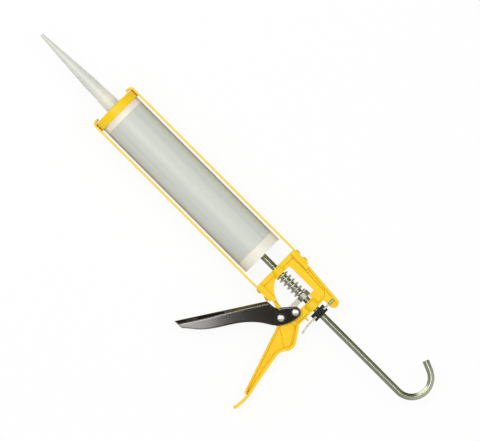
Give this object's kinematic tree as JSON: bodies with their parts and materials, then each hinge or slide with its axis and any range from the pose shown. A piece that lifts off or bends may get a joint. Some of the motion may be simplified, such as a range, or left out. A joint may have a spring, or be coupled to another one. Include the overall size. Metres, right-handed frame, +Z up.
{
  "type": "caulking gun with caulk tube",
  "caption": "Skeleton caulking gun lying on its side, loaded with a nozzled sealant tube; a trigger drives a hooked hex rod that pushes the tube's piston.",
  "frame": {"origin": "centre of the nozzle's outlet, where the bead leaves", "axes": "+X back along the tube and rod to the hanging hook; +Z up from the floor the gun lies on; the grip points to -Y"},
  "size_m": [0.5378, 0.1762, 0.0518],
  "materials": {
    "yellow_paint": "gloss yellow paint",
    "zinc_steel": "zinc plated steel",
    "spring_steel": "zinc plated spring wire",
    "rivet_steel": "bright zinc",
    "black_paint": "semi-gloss black paint",
    "pad_plastic": "matt black",
    "tube_plastic": "satin cream with a plain grey print area",
    "nozzle_plastic": "translucent natural polyethylene",
    "piston_plastic": "natural polyethylene",
    "sealant": "white paste"
  },
  "bodies": {
    "frame": {"body_casting": "yellow_paint", "upper_rail": "yellow_paint", "lower_rail": "yellow_paint", "rail_rivets": "yellow_paint", "front_ring": "yellow_paint", "tube_barrel": "tube_plastic", "sealant": "sealant", "return_spring": "spring_steel"},
    "piston": {"tube_piston": "piston_plastic"},
    "rod": {"push_rod": "zinc_steel", "push_plate": "zinc_steel"},
    "trigger": {"trigger": "black_paint", "pivot_rivet": "rivet_steel", "drive_rivet": "rivet_steel"},
    "drive": {"drive_plate_front": "zinc_steel", "drive_plate_rear": "zinc_steel"},
    "release": {"release_plate": "zinc_steel", "release_pad": "pad_plastic"},
    "nozzle": {"nozzle": "nozzle_plastic"}
  },
  "joints": [
    {"name": "trigger_squeeze", "type": "hinge", "parent": "frame", "child": "trigger", "pos_m": [0.3768, -0.03146, -0.00386], "axis": [0, -0.1218, 0.9926], "range_deg": [0, 40], "stiffness_Nm_per_rad": 0.2, "springref_deg": -20.05},
    {"name": "drive_push", "type": "slide", "parent": "frame", "child": "drive", "axis": [-1, 0, 0], "range_m": [0, 0.0112], "deforming": ["return_spring"]},
    {"name": "release_press", "type": "hinge", "parent": "frame", "child": "release", "pos_m": [0.4017, 0.01866, 0.00229], "axis": [0, 0.1218, -0.9926], "range_deg": [0, 2.5], "stiffness_Nm_per_rad": 0.6, "springref_deg": -5.73},
    {"name": "piston_feed", "type": "slide", "parent": "frame", "child": "piston", "axis": [-1, 0, 0], "range_m": [0, 0.097], "deforming": ["sealant"]},
    {"name": "rod_pull", "type": "slide", "parent": "piston", "child": "rod", "axis": [1, 0, 0], "range_m": [0, 0.118]},
    {"name": "nozzle_off", "type": "slide", "parent": "frame", "child": "nozzle", "axis": [-1, 0, 0], "range_m": [0, 0.025]}
  ],
  "couplings": [
    {"joint": "drive_push", "follows": "trigger_squeeze", "m_per_rad": 0.015529}
  ]
}
